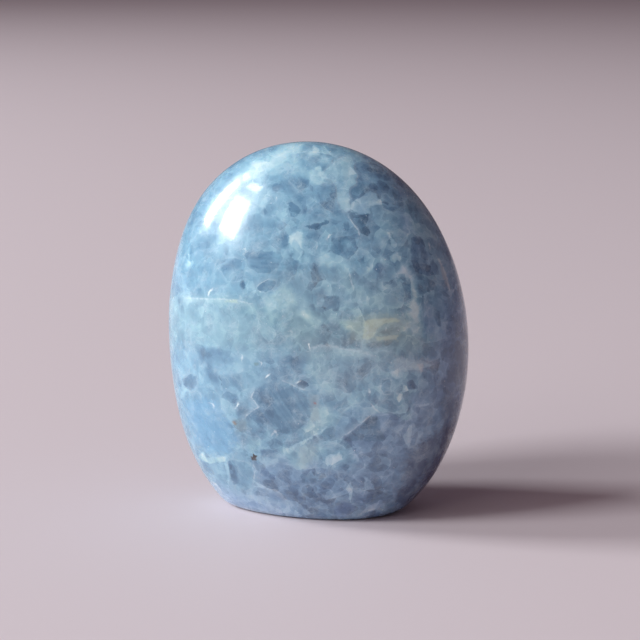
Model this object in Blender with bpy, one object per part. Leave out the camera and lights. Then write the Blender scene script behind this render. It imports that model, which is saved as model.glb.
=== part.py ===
"""Polished freeform of celestite: one egg-shaped stone that stands on a flat cut.

Metres, +Z up. The origin is on the floor, under the middle of the stone's box.
+X is to the right and -Y to the front of the broad face.
"""

import math

import bmesh
import bpy
from mathutils import Vector

NAME = "celestite_stone"

# Heights. The full egg would reach below the floor: the flat cut takes that part away.
HEIGHT = 0.090
SUNK = 0.009
RIM = 0.002

# The top lies to the left, and the crest of the belly swings to the right towards the base.
TOP_X = -0.0028
CREST_SWING = 0.0102

# Each side of the egg: furthest reach from the line under the top, skew of the belly
# (plus is high, minus is low) and fullness (plus is boxy, minus is lean).
RIGHT = (0.0388, -0.020, 0.045)
LEFT = (0.0345, 0.045, 0.135)
FRONT = (0.0230, -0.030, -0.075)
BACK = (0.0220, 0.020, -0.050)

# Fullness of the level sections between the four sides.
CORNERS = 0.03

# Unevenness that hand polishing leaves: depth, and waves from pole to pole or side to side.
POLISH_DEPTH = 0.00022
POLISH_WAVES = ((7.2, 2.7, -3.9, 0.4), (-3.3, 6.1, 5.7, 2.1), (4.1, -4.6, 8.3, 4.4))

# Squares along each edge of the cube that is rounded into the stone.
GRID = 26

COLOR = (0.30, 0.44, 0.57, 1.0)
ROUGHNESS = 0.16
METALLIC = 0.0


def clear_scene():
    for item in list(bpy.data.objects):
        bpy.data.objects.remove(item, do_unlink=True)


def new_collection(name):
    collection = bpy.data.collections.new(name)
    bpy.context.scene.collection.children.link(collection)
    return collection


def stone_material():
    material = bpy.data.materials.new(NAME)
    material.use_nodes = True
    shader = material.node_tree.nodes["Principled BSDF"]
    shader.inputs["Base Color"].default_value = COLOR
    shader.inputs["Roughness"].default_value = ROUGHNESS
    shader.inputs["Metallic"].default_value = METALLIC
    material.diffuse_color = COLOR
    return material


def round_grid_direction(corner):
    """The unit direction of a point on the cube, spaced evenly over the ball."""
    evened = [math.tan(value * math.pi / 4) for value in corner]
    return Vector(evened).normalized()


def reach(side, level, ball):
    """How far one side stands from the line under the top, at a level from -1 to 1.

    ball is the radius of the unit ball's section at that level.
    """
    furthest, skew, fullness = side
    return furthest * ball * (1 + skew * level + fullness * level * level)


def section_radius(turn_x, turn_y, left, right, front, back):
    """Radius of a level section in the direction (turn_x, turn_y) from its crest."""
    half_width = (right + left) / 2 + (right - left) / 2 * turn_x
    half_depth = (back + front) / 2 + (back - front) / 2 * turn_y
    return 1 / math.hypot(turn_x / half_width, turn_y / half_depth)


def polish(direction):
    """Unevenness of the polish, as a small push outwards."""
    total = 0.0
    for along_x, along_y, along_z, phase in POLISH_WAVES:
        total += math.sin(along_x * direction.x + along_y * direction.y + along_z * direction.z + phase)
    return POLISH_DEPTH * total / len(POLISH_WAVES)


def cut_flat(height):
    """Height after the flat cut, with its edge rounded over RIM."""
    if height >= RIM:
        return height
    if height <= -RIM:
        return 0.0
    return (height + RIM) ** 2 / (4 * RIM)


def stone_point(direction):
    """The point of the stone's surface for a direction of the unit ball."""
    level = direction.z
    ball = math.hypot(direction.x, direction.y)
    crest = TOP_X + CREST_SWING * (1 - level) / 2 * ball
    half_height = (HEIGHT + SUNK) / 2
    height = HEIGHT - half_height + half_height * level
    if ball == 0:
        return Vector((TOP_X, 0.0, cut_flat(height)))
    turn_x = direction.x / ball
    turn_y = direction.y / ball
    right = TOP_X + reach(RIGHT, level, ball) - crest
    left = crest - TOP_X + reach(LEFT, level, ball)
    front = reach(FRONT, level, ball)
    back = reach(BACK, level, ball)
    radius = section_radius(turn_x, turn_y, left, right, front, back)
    radius *= 1 + CORNERS * (2 * turn_x * turn_y) ** 2 * ball * ball
    radius += polish(direction) * ball
    return Vector((crest + radius * turn_x, radius * turn_y, cut_flat(height)))


def center_on_origin(vertices):
    """Move the points so that the box's middle is over the origin."""
    middle_x = (min(v.co.x for v in vertices) + max(v.co.x for v in vertices)) / 2
    middle_y = (min(v.co.y for v in vertices) + max(v.co.y for v in vertices)) / 2
    for vertex in vertices:
        vertex.co.x -= middle_x
        vertex.co.y -= middle_y


def make_stone(collection):
    shape = bmesh.new()
    bmesh.ops.create_cube(shape, size=2)
    bmesh.ops.subdivide_edges(shape, edges=shape.edges[:], cuts=GRID - 1, use_grid_fill=True)
    for vertex in shape.verts:
        vertex.co = stone_point(round_grid_direction(vertex.co))
    center_on_origin(shape.verts)
    mesh = bpy.data.meshes.new(NAME)
    shape.to_mesh(mesh)
    shape.free()
    mesh.shade_smooth()
    mesh.set_sharp_from_angle(angle=math.radians(50))
    mesh.materials.append(stone_material())
    stone = bpy.data.objects.new(NAME, mesh)
    collection.objects.link(stone)
    return stone


clear_scene()
make_stone(new_collection("celestite_freeform"))
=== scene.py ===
"""The looks of the polished celestite freeform: its fine surface, its clouded blue crystal and the light."""

import math
from collections import namedtuple

import bmesh
import bpy
import numpy as np
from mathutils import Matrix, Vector


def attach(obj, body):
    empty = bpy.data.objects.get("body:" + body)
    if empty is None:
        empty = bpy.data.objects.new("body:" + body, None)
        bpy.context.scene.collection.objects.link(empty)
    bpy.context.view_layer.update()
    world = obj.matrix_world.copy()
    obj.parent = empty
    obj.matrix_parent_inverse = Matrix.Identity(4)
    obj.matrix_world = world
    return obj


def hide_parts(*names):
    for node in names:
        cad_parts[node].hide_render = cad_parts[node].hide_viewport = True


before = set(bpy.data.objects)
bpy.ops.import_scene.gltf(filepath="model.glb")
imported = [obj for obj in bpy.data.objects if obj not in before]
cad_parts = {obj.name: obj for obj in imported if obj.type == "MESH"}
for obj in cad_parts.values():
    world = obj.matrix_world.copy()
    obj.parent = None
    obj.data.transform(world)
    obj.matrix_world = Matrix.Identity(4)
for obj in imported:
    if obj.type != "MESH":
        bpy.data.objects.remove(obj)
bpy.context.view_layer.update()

NODE = "celestite_stone"

# The stone's shape, as in the solid: heights, lean, four sides and the unevenness of the polish.
HEIGHT = 0.090
SUNK = 0.009
RIM = 0.002
TOP_X = -0.0028
CREST_SWING = 0.0102
RIGHT = (0.0388, -0.020, 0.045)
LEFT = (0.0345, 0.045, 0.135)
FRONT = (0.0230, -0.030, -0.075)
BACK = (0.0220, 0.020, -0.050)
CORNERS = 0.03
POLISH_DEPTH = 0.00022
POLISH_WAVES = ((7.2, 2.7, -3.9, 0.4), (-3.3, 6.1, 5.7, 2.1), (4.1, -4.6, 8.3, 4.4))

# The cube that is rounded into the stone is halved this often: 2 ** 7 squares along an edge.
HALVINGS = 7
# How far the grid's points are drawn together on the broad face, which has the finest markings.
GATHERING = 0.25

# The photograph's view of the stone, in metres and degrees, and its frame in pixels.
VIEW_TURN = 8.0
VIEW_RISE = 12.0
VIEW_DISTANCE = 0.42
VIEW_TARGET = Vector((0.00065, 0.0, 0.0468))
FRAME_PIXELS = 640
METRES_PER_PIXEL = 0.00024265
SENSOR_MM = 36.0

# Fields that hold a distance to an edge are cut off at this many edge widths.
FAR = 3.0
MEETING = 1.4
EDGE_SHARE = 0.7
# Crystal patches lie in this many layers, one over the other, and seams, and stains with one patch of painted shade, in
# fewer.
PATCH_LAYERS = 8
SEAM_LAYERS = 3
STAIN_AND_SHADE_LAYERS = 3


# Shape

def unit_ball():
    """Directions of a grid of points on the ball, as a mesh of squares."""
    shape = bmesh.new()
    bmesh.ops.create_cube(shape, size=2)
    for _ in range(HALVINGS):
        bmesh.ops.subdivide_edges(shape, edges=shape.edges[:], cuts=1, use_grid_fill=True)
    mesh = bpy.data.meshes.new("celestite_skin")
    shape.to_mesh(mesh)
    shape.free()
    evened = np.tan(read_points(mesh) * math.pi / 4)
    way = evened / np.linalg.norm(evened, axis=1)[:, None]
    way[:, 1] -= GATHERING
    return mesh, way / np.linalg.norm(way, axis=1)[:, None]


def read_points(mesh):
    flat = np.empty(len(mesh.vertices) * 3)
    mesh.vertices.foreach_get("co", flat)
    return flat.reshape(-1, 3)


def read_normals(mesh):
    flat = np.empty(len(mesh.vertices) * 3)
    mesh.vertex_normals.foreach_get("vector", flat)
    return flat.reshape(-1, 3)


def reach(side, level, ball):
    furthest, skew, fullness = side
    return furthest * ball * (1 + skew * level + fullness * level * level)


def stone_points(way):
    """Points of the stone's surface for directions of the unit ball."""
    level = way[:, 2]
    ball = np.maximum(np.hypot(way[:, 0], way[:, 1]), 1e-9)
    turn = np.arctan2(way[:, 1], way[:, 0])
    turn_x = np.cos(turn)
    turn_y = np.sin(turn)
    crest = TOP_X + CREST_SWING * (1 - level) / 2 * ball
    right = TOP_X + reach(RIGHT, level, ball) - crest
    left = crest - TOP_X + reach(LEFT, level, ball)
    front = reach(FRONT, level, ball)
    back = reach(BACK, level, ball)
    half_width = (right + left) / 2 + (right - left) / 2 * turn_x
    half_depth = (back + front) / 2 + (back - front) / 2 * turn_y
    radius = 1 / np.hypot(turn_x / half_width, turn_y / half_depth)
    radius *= 1 + CORNERS * (2 * turn_x * turn_y) ** 2 * ball * ball
    for along_x, along_y, along_z, phase in POLISH_WAVES:
        wave = np.sin(along_x * way[:, 0] + along_y * way[:, 1] + along_z * way[:, 2] + phase)
        radius += POLISH_DEPTH * wave * ball / len(POLISH_WAVES)
    half_height = (HEIGHT + SUNK) / 2
    height = HEIGHT - half_height + half_height * level
    rounded = np.clip(height + RIM, 0, None) ** 2 / (4 * RIM)
    height = np.where(height >= RIM, height, np.where(height <= -RIM, 0.0, rounded))
    return np.column_stack((crest + radius * turn_x, radius * turn_y, height))


def center_on_origin(points):
    middle = (points.min(axis=0) + points.max(axis=0)) / 2
    middle[2] = 0
    return points - middle


def write_points(mesh, points):
    mesh.vertices.foreach_set("co", points.astype(np.float32).ravel())
    mesh.update()


# Places on the broad face, seen as the photograph sees it

def view_axes():
    turn = math.radians(VIEW_TURN)
    rise = math.radians(VIEW_RISE)
    back = Vector((math.sin(turn) * math.cos(rise), -math.cos(turn) * math.cos(rise), math.sin(rise)))
    right = Vector((0, 0, 1)).cross(back).normalized()
    return right, back.cross(right), back


def face_places(points):
    """Where each point shows on the broad face, in the photograph's pixels, and the way to the eye."""
    right, up, back = (np.array(axis) for axis in view_axes())
    eye = np.array(VIEW_TARGET) + back * VIEW_DISTANCE
    ray = points - eye
    depth = -ray @ back
    focal = VIEW_DISTANCE / METRES_PER_PIXEL
    across = FRAME_PIXELS / 2 + focal * (ray @ right) / depth
    down = FRAME_PIXELS / 2 - focal * (ray @ up) / depth
    return np.column_stack((across, down)), -ray / np.linalg.norm(ray, axis=1)[:, None]


# Markings of the broad face, traced in the photograph's pixels. A tone runs from -1, dark
# slate blue, to 1, nearly white, and a tint from -1, green, to 1, indigo. Edge is the width in
# pixels over which a marking fades. Clouds are soft and lie below the crystal patches.
Cloud = namedtuple("Cloud", "name tone tint edge outline")

CLOUDS = (
    Cloud("left edge", -0.02, 0, 16, ((150, 200), (205, 170), (200, 260), (190, 330), (190, 400),
        (215, 480), (150, 480))),
    Cloud("green middle band", 0, -0.6, 14, ((165, 296), (250, 298), (320, 312), (400, 312), (440, 318),
        (436, 344), (400, 352), (320, 350), (250, 352), (165, 344))),
    Cloud("shade under the heart", -0.5, -0.5, 6, ((316, 322), (352, 318), (358, 348), (322, 352))),
    # Partly the stone's grey, partly a painted mauve reflection along the right side.
    Cloud("grey right side with painted mauve reflection", 0.1, 0.5, 22, ((392, 150), (420, 190), (436, 240), (436, 330), (420, 420),
        (480, 420), (490, 300), (450, 150))),
    # Painted shade and painted mauve reflection: a dark indigo band along the right rim, where the flank turns from the
    # light.
    Cloud("painted shade and reflection at the right rim", -1, 1, 26, ((460, 290), (444, 340), (438, 400), (426, 445), (400, 500), (480, 540),
        (500, 380), (490, 290))),
    Cloud("under the crown", -0.15, 0.15, 16, ((330, 160), (372, 160), (410, 200), (420, 260), (408, 300),
        (372, 300), (350, 250), (330, 210))),
    Cloud("shoulder shade", -0.4, 0.7, 7, ((364, 156), (384, 164), (400, 182), (408, 196), (398, 200),
        (388, 192), (378, 186), (372, 172))),
    Cloud("indigo foot", -0.1, 0.6, 16, ((256, 470), (300, 452), (330, 470), (400, 455), (440, 440),
        (450, 520), (256, 526))),
    # Painted shade: the lower right darkened and tinted indigo where the light falls off.
    Cloud("painted shade at the lower right", -1.1, 0.9, 16, ((414, 452), (430, 436), (470, 400), (470, 500), (400, 530),
        (386, 530), (404, 480))),
    Cloud("crown band", 1, 0, 7, ((258, 158), (276, 154), (284, 147), (292, 142), (301, 144), (301, 150),
        (290, 158), (286, 164), (280, 171), (262, 174), (248, 182), (236, 178), (240, 168))),
    Cloud("pale under the crown", 0.6, 0, 5, ((286, 167), (318, 168), (322, 181), (318, 206), (313, 190),
        (308, 181), (290, 176))),
    # Pale lines of the stone, brightened with a painted glow beside the highlight.
    Cloud("pale lines with painted glow by the highlight", 0.6, 0, 5, ((258, 182), (266, 186), (268, 202), (262, 208), (250, 202),
        (252, 190))),
    Cloud("under the highlight", 0.15, 0, 6, ((210, 240), (240, 238), (243, 250), (224, 256), (213, 250))),
    Cloud("pale right of the deep teal", 0.3, 0.2, 5, ((374, 222), (380, 222), (385, 238), (400, 240),
        (404, 250), (386, 250), (372, 244))),
    Cloud("standing mauve", 0.3, 0.6, 5, ((401, 212), (410, 216), (411, 232), (403, 234))),
    Cloud("veil over the middle", 0.75, 0, 5, ((318, 259), (322, 248), (328, 252), (334, 259), (342, 260),
        (350, 268), (353, 280), (347, 276), (341, 268), (330, 267), (320, 265))),
    Cloud("pale lens", 0.3, -0.2, 4, ((340, 267), (350, 273), (354, 284), (362, 292), (362, 302),
        (352, 296), (342, 286))),
    Cloud("over the smoke", 0.6, 0, 4, ((365, 275), (370, 266), (376, 259), (384, 257), (392, 264),
        (384, 264), (378, 262), (372, 270))),
    Cloud("knot over the teal", 0.85, 0.3, 4, ((394, 278), (402, 265), (408, 265), (414, 276), (418, 280),
        (412, 281), (404, 275))),
    Cloud("tall wisp", 1.5, 0, 4, ((411, 280), (415, 284), (417, 296), (418, 310), (421, 326), (414, 325),
        (409, 312), (412, 300), (411, 290))),
    Cloud("foot of the wisp", 0.9, 0, 5, ((402, 321), (420, 322), (425, 338), (414, 336), (404, 331))),
    Cloud("mauve at the right", 0.35, 0.6, 6, ((426, 298), (432, 310), (438, 322), (438, 336), (426, 334),
        (422, 318))),
    Cloud("pale left of the teal", 0.35, -0.1, 6, ((366, 296), (382, 292), (386, 304), (378, 312),
        (366, 308))),
    Cloud("along the left line", 0.35, -0.6, 4, ((182, 296), (226, 297), (246, 302), (252, 306), (240, 306),
        (212, 304), (184, 303))),
    Cloud("middle cloud", 0.7, -0.3, 5, ((270, 294), (284, 286), (293, 291), (301, 303), (290, 305),
        (284, 312), (270, 310), (262, 302))),
    Cloud("pale over the heart", 0.6, -0.1, 5, ((294, 294), (306, 295), (310, 304), (306, 316),
        (298, 314))),
    Cloud("pale below the heart", 0.5, -0.4, 4, ((300, 312), (310, 308), (316, 316), (325, 320), (318, 328),
        (306, 322))),
    Cloud("green shelf", 0.4, -1, 4, ((338, 320), (360, 319), (364, 330), (346, 330))),
    Cloud("under the green line", 0.4, -0.3, 6, ((306, 352), (350, 350), (364, 354), (352, 359), (334, 360),
        (312, 362))),
    Cloud("pale plume", 0.55, -0.2, 5, ((308, 360), (330, 364), (336, 380), (334, 396), (322, 392),
        (314, 384), (306, 372))),
    Cloud("pale ridge", 0.4, -0.1, 4, ((338, 414), (344, 404), (350, 396), (364, 392), (368, 398),
        (356, 402), (344, 414))),
    Cloud("green slanting band", 0.4, -0.4, 5, ((308, 410), (326, 406), (336, 420), (330, 427), (318, 434),
        (304, 436), (306, 424))),
    Cloud("fog over the light blue", 0.25, -0.1, 5, ((214, 398), (226, 400), (236, 406), (236, 420),
        (228, 424), (220, 412))),
    Cloud("grey fog", -0.5, -0.2, 5, ((238, 406), (248, 404), (252, 420), (250, 438), (240, 444),
        (238, 430))),
    Cloud("below the step", 0.6, -0.2, 5, ((280, 448), (300, 446), (318, 444), (324, 452), (310, 462),
        (304, 472), (296, 470), (290, 460))),
    Cloud("pale web at the left waist", 0.1, -0.1, 6, ((222, 354), (250, 356), (258, 376), (250, 392),
        (238, 388), (228, 372))),
    Cloud("shade over the slate", -0.4, 0, 5, ((262, 364), (284, 357), (302, 362), (304, 376), (284, 384),
        (264, 382))),
    Cloud("waist shade", -0.3, 0, 6, ((204, 350), (236, 356), (240, 388), (216, 390), (206, 372))),
    Cloud("violet shelf", 0.7, 0.5, 4, ((352, 446), (366, 443), (374, 450), (386, 450), (374, 453),
        (368, 459), (358, 460), (350, 454))),
    Cloud("mauve low right", -0.1, 0.7, 7, ((394, 450), (412, 450), (416, 462), (404, 478), (392, 480))),
    Cloud("mauve right of the kite", 0.2, 0.6, 7, ((412, 396), (426, 396), (428, 420), (438, 430),
        (440, 440), (420, 446), (412, 440))),
    Cloud("lavender hem", 0.3, 0.7, 8, ((200, 478), (236, 492), (262, 500), (300, 506), (330, 512),
        (330, 530), (220, 520))),
)

# Crystal patches with a clean edge. Rim is the strength of the white line along that edge.
Patch = namedtuple("Patch", "name tone tint edge rim outline")

PATCHES = (
    Patch("dark right of the flank", -0.45, 0.3, 2.2, 0.3, ((352, 163), (372, 160), (386, 170), (398, 188),
        (404, 204), (394, 212), (384, 208), (376, 194), (362, 196), (350, 206), (345, 190))),
    Patch("lower right domain", -0.12, 0.55, 1.6, 0.15, ((341, 437), (364, 420), (374, 413), (392, 412),
        (404, 420), (428, 416), (446, 400), (440, 450), (410, 500), (392, 484), (372, 490), (352, 474),
        (360, 460), (352, 448))),
    Patch("foot field", -0.25, 0.5, 1.6, 0.25, ((262, 467), (280, 463), (300, 470), (322, 468), (346, 474),
        (372, 490), (392, 484), (396, 520), (334, 522), (310, 514), (298, 503), (283, 499), (279, 491),
        (264, 488), (258, 480))),
    Patch("slate in the foot", -0.15, 0.5, 1.6, 0.25, ((281, 489), (296, 484), (303, 488), (303, 500),
        (298, 506), (288, 500))),
    Patch("second slate in the foot", -0.3, 0.5, 1.6, 0.2, ((306, 488), (318, 484), (330, 490), (333, 502),
        (322, 506), (308, 502))),
    Patch("third slate in the foot", -0.35, 0.7, 1.6, 0.2, ((353, 496), (362, 490), (374, 492), (372, 500),
        (362, 506), (354, 504))),
    Patch("violet crystal in the hem", -0.05, 0.9, 1.6, 0.3, ((334, 507), (345, 501), (356, 506),
        (352, 514), (342, 519), (334, 514))),
    Patch("upper pool", -0.1, 0.1, 3, 0, ((300, 178), (318, 184), (336, 182), (338, 200), (334, 212),
        (320, 222), (306, 220), (300, 204))),
    Patch("blue between the clouds", -0.05, 0.1, 2.5, 0.1, ((370, 222), (386, 220), (396, 228), (404, 250),
        (398, 252), (384, 240), (372, 244), (362, 240))),
    Patch("crown fleck", 1, 0.1, 1.2, 0, ((312, 145), (319, 148), (320, 155), (313, 156), (308, 154),
        (310, 151), (313, 151))),
    Patch("blue in the crown", 0.1, 0, 2, 0.1, ((297, 158), (313, 158), (318, 163), (318, 168), (309, 171),
        (304, 165), (296, 163))),
    Patch("white wedge", 0.9, 0, 2, 0, ((315, 168), (319, 166), (324, 172), (328, 178), (323, 180),
        (318, 175))),
    Patch("smooth dark blue", -0.3, 0, 4, 0, ((268, 187), (273, 182), (282, 178), (293, 177), (303, 181),
        (307, 188), (306, 197), (299, 200), (290, 197), (281, 191), (274, 193))),
    Patch("its left core", -0.75, 0, 3, 0, ((271, 185), (277, 182), (281, 187), (278, 192), (273, 190))),
    Patch("blue blob", -0.45, 0, 2, 0.2, ((288, 203), (292, 201), (297, 206), (301, 211), (297, 217),
        (291, 216), (289, 211))),
    Patch("blue left of the spot", -0.4, 0, 2, 0.2, ((263, 210), (267, 204), (275, 204), (279, 209),
        (272, 216), (264, 216))),
    Patch("blue by the flank", -0.4, 0.1, 4, 0, ((322, 184), (334, 180), (338, 188), (336, 198), (334, 206),
        (322, 208), (320, 196))),
    Patch("its slope", -0.35, 0.1, 2.5, 0, ((320, 198), (330, 200), (340, 213), (332, 212), (322, 208))),
    Patch("jagged pale flank", 0.65, 0.1, 1.2, 0.5, ((322, 176), (334, 160), (345, 156), (352, 158),
        (354, 163), (353, 168), (356, 172), (357, 176), (355, 180), (356, 184), (350, 187), (349, 193),
        (350, 199), (349, 204), (351, 208), (346, 212), (341, 209), (338, 200), (337, 188), (332, 180))),
    Patch("teal behind the flank", -0.5, 0.1, 1.6, 0.1, ((350, 189), (356, 184), (364, 181), (371, 184),
        (370, 191), (362, 194), (353, 199), (350, 195))),
    Patch("pale angular patch", 0.8, 0.3, 1.3, 0.1, ((351, 202), (357, 199), (362, 197), (366, 193),
        (370, 191), (376, 193), (378, 198), (381, 200), (382, 205), (371, 205), (370, 214), (361, 215),
        (354, 212), (351, 208))),
    Patch("core of the pale patch", -0.7, 0.2, 2, 0, ((355, 203), (364, 202), (366, 207), (362, 211),
        (355, 209))),
    Patch("deep teal", -0.95, 0.05, 2, 0.3, ((348, 211), (354, 213), (357, 215), (369, 214), (368, 221),
        (366, 226), (371, 231), (369, 236), (362, 234), (357, 226), (351, 221))),
    Patch("dark left of the fan", -0.65, 0.1, 1.6, 0, ((343, 221), (347, 219), (350, 226), (349, 231),
        (344, 230))),
    Patch("dark lens", -0.8, 0.05, 1.8, 0.3, ((303, 226), (311, 225), (315, 223), (322, 223), (326, 220),
        (329, 221), (328, 224), (322, 226), (319, 230), (313, 229))),
    Patch("white wisp", 0.9, 0.2, 2, 0, ((388, 230), (391, 236), (395, 241), (398, 247), (394, 249),
        (391, 243), (389, 237))),
    Patch("bar under the wisps", -0.35, 0, 3, 0, ((346, 259), (358, 257), (372, 259), (364, 264),
        (352, 264))),
    Patch("blue pool", -0.4, 0, 2.5, 0.1, ((325, 240), (334, 232), (346, 232), (349, 240), (345, 250),
        (338, 256), (331, 250))),
    Patch("slate at the right", -0.6, 0.4, 1.6, 0.2, ((411, 238), (417, 235), (422, 238), (425, 246),
        (431, 254), (437, 266), (440, 274), (428, 276), (416, 272), (411, 262))),
    Patch("smoke ring", 0.8, 0.1, 1.6, 0, ((390, 256), (396, 253), (402, 257), (400, 262), (397, 260),
        (394, 264), (391, 261))),
    Patch("indigo smoke", -0.4, 0.3, 1.8, 0, ((373, 269), (376, 263), (380, 262), (385, 267), (386, 274),
        (381, 278), (378, 272))),
    Patch("left flecks", 0.6, -0.1, 1.4, 0, ((187, 249), (190, 248), (190, 258), (189, 262), (193, 261),
        (196, 264), (191, 268), (187, 268), (184, 265), (188, 262))),
    Patch("square blue", -0.2, 0, 1.5, 0.3, ((221, 261), (228, 258), (240, 259), (246, 261), (244, 268),
        (243, 279), (237, 281), (229, 281), (224, 277), (221, 270))),
    Patch("its dark half", -0.6, 0, 3, 0, ((221, 262), (232, 261), (238, 268), (222, 270))),
    Patch("striped blue", -0.4, 0, 1.2, 0.25, ((244, 252), (262, 251), (280, 252), (283, 258), (279, 266),
        (270, 273), (258, 273), (247, 266), (246, 260))),
    Patch("tall dark", -0.25, 0, 2, 0.1, ((281, 228), (285, 227), (288, 236), (286, 249), (281, 249))),
    Patch("tall cloud", 1, 0, 3, 0, ((289, 238), (292, 233), (298, 231), (303, 234), (303, 250), (300, 262),
        (293, 258), (289, 248))),
    Patch("blue under the cloud", -0.2, 0, 3, 0, ((285, 264), (292, 259), (298, 262), (300, 270),
        (292, 272), (287, 270))),
    Patch("dark spine", -0.75, 0, 2, 0.1, ((313, 264), (317, 266), (319, 274), (323, 278), (321, 286),
        (315, 288), (311, 280), (312, 270))),
    Patch("small wedge", -0.95, 0, 1.3, 0, ((240, 285), (241, 281), (244, 280), (246, 288), (241, 289))),
    Patch("dark leaf", -0.45, -0.05, 1.3, 0.4, ((256, 288), (260, 284), (266, 281), (272, 280), (276, 282),
        (273, 289), (266, 292), (260, 291))),
    Patch("left of the leaf", 0.4, 0, 2, 0, ((245, 285), (250, 280), (254, 282), (256, 290), (254, 294),
        (248, 291))),
    Patch("blue heart", -0.85, 0, 2.4, 0.1, ((324, 297), (332, 295), (339, 297), (340, 306), (338, 312),
        (335, 312), (331, 308), (325, 311), (322, 307), (324, 303))),
    Patch("tall teal", -0.35, 0.05, 1.8, 0.2, ((397, 280), (402, 277), (409, 278), (411, 284), (411, 298),
        (404, 302), (398, 301), (394, 297), (396, 288))),
    Patch("streak in the yellow", -0.6, -0.8, 1.8, 0, ((376, 333), (382, 331), (390, 328), (399, 327),
        (399, 332), (390, 334), (378, 335))),
    Patch("streak below", -0.5, -0.6, 2, 0, ((366, 343), (382, 341), (392, 339), (392, 345), (380, 348),
        (366, 347))),
    Patch("beige plateau", 0.6, 0.1, 1.6, 0, ((394, 358), (404, 357), (408, 361), (415, 362), (421, 360),
        (427, 363), (432, 365), (425, 368), (418, 370), (406, 370), (402, 377), (396, 380), (390, 374),
        (388, 367))),
    Patch("teal right of the middle", -0.5, -0.05, 1.8, 0.1, ((358, 360), (368, 358), (372, 366),
        (370, 376), (364, 379), (357, 374))),
    Patch("ring in the web", -0.5, 0.1, 1.5, 0.45, ((382, 380), (390, 379), (391, 385), (390, 393),
        (384, 394), (381, 388))),
    Patch("white corner", 1.4, -0.1, 1.3, 0, ((404, 385), (407, 386), (408, 390), (403, 393), (401, 399),
        (399, 403), (396, 398), (399, 394), (402, 391))),
    Patch("dark notch", -0.85, 0.3, 1.3, 0.1, ((406, 382), (411, 380), (415, 382), (418, 388), (412, 390),
        (408, 389))),
    Patch("rounded blue", -0.5, 0, 1.3, 0.3, ((181, 379), (186, 378), (190, 374), (196, 375), (197, 383),
        (195, 388), (190, 391), (185, 386))),
    Patch("wedge at the rim", 0.55, 0, 1.4, 0, ((182, 383), (187, 390), (189, 391), (184, 394), (180, 398),
        (182, 392))),
    Patch("waist blue", -0.5, -0.05, 2.5, 0, ((200, 350), (206, 347), (220, 349), (222, 358), (216, 364),
        (207, 365), (202, 360))),
    Patch("lower waist", -0.4, 0, 2.5, 0, ((206, 368), (212, 367), (220, 376), (222, 386), (212, 382),
        (208, 376))),
    Patch("big light blue", -0.15, 0, 1.3, 0.2, ((181, 399), (188, 394), (198, 388), (212, 387), (219, 396),
        (222, 410), (232, 424), (238, 440), (236, 450), (226, 456), (205, 455), (196, 448), (188, 424))),
    Patch("grey shard", -0.5, 0, 1.5, 0.2, ((221, 396), (226, 391), (236, 394), (240, 399), (234, 404),
        (226, 400))),
    Patch("brown box", -0.5, -0.3, 1.6, 0, ((233, 421), (238, 420), (246, 422), (246, 429), (237, 430),
        (234, 427))),
    Patch("slate crystal", -0.4, -0.05, 3.2, 0.1, ((252, 397), (255, 391), (260, 386), (268, 384),
        (276, 381), (284, 383), (292, 389), (300, 390), (306, 396), (309, 404), (313, 410), (309, 420),
        (301, 428), (290, 434), (276, 432), (262, 428), (252, 420), (247, 415), (252, 410), (259, 407))),
    Patch("its dark head", -0.75, 0.05, 3, 0, ((254, 392), (261, 387), (270, 396), (270, 405), (260, 402))),
    Patch("its dark foot", -0.85, 0.05, 4, 0, ((254, 414), (262, 409), (274, 410), (274, 424), (258, 424))),
    Patch("dark over the glint", -0.7, -0.05, 2, 0.1, ((276, 362), (286, 356), (298, 356), (300, 364),
        (296, 368), (286, 368), (278, 366))),
    Patch("black lens", -1, 0, 1.2, 0.2, ((297, 384), (301, 379), (305, 380), (309, 386), (303, 389),
        (299, 387))),
    Patch("white step", 0.9, 0, 1.5, 0, ((284, 449), (298, 443), (310, 437), (314, 434), (320, 432),
        (326, 426), (332, 422), (326, 429), (321, 434), (314, 437), (308, 441), (300, 447), (290, 453))),
    Patch("under the step", -0.3, -0.1, 1.5, 0.1, ((312, 437), (318, 435), (321, 434), (326, 429),
        (334, 426), (338, 432), (334, 438), (326, 441), (316, 443))),
    Patch("lit crystal", 0.1, 0.2, 1.5, 0.3, ((334, 437), (338, 424), (344, 413), (352, 406), (364, 402),
        (371, 404), (376, 411), (364, 421), (352, 430), (341, 439))),
    Patch("triangle", -0.4, 0.1, 1.5, 0.25, ((371, 400), (391, 400), (397, 407), (400, 411), (392, 412),
        (384, 408), (376, 405))),
    Patch("under the diagonal", -0.6, 0.2, 1.3, 0, ((343, 440), (352, 432), (363, 423), (369, 417),
        (376, 415), (380, 420), (380, 430), (386, 438), (384, 442), (370, 441), (352, 441))),
    Patch("its core", -1, 0.1, 1.6, 0, ((364, 422), (370, 416), (377, 417), (377, 428), (370, 430),
        (360, 428))),
    Patch("white kite", 0.9, 0.4, 1.6, 0, ((409, 426), (412, 424), (412, 438), (409, 448), (404, 440),
        (403, 436))),
    Patch("nugget", 0.95, 0.2, 1.8, 0, ((325, 457), (330, 454), (336, 455), (339, 452), (342, 456),
        (342, 460), (337, 462), (333, 464), (328, 466), (325, 461))),
    Patch("violet slate", -0.7, 0.4, 2.5, 0.1, ((376, 452), (386, 454), (390, 462), (388, 470), (378, 472),
        (364, 472), (364, 469), (370, 462))),
    Patch("green fracture", 0.85, -0.4, 1.5, 0, ((197, 455), (204, 452), (206, 457), (226, 457), (226, 462),
        (220, 462), (210, 464), (202, 460))),
    Patch("lower left shard", -0.2, 0, 1.2, 0.35, ((228, 461), (234, 460), (244, 462), (252, 466),
        (254, 478), (250, 488), (243, 492), (235, 489), (231, 480), (229, 470))),
    Patch("its dark half", -0.7, 0.1, 1.8, 0, ((229, 464), (238, 465), (238, 484), (233, 484), (230, 474))),
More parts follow.
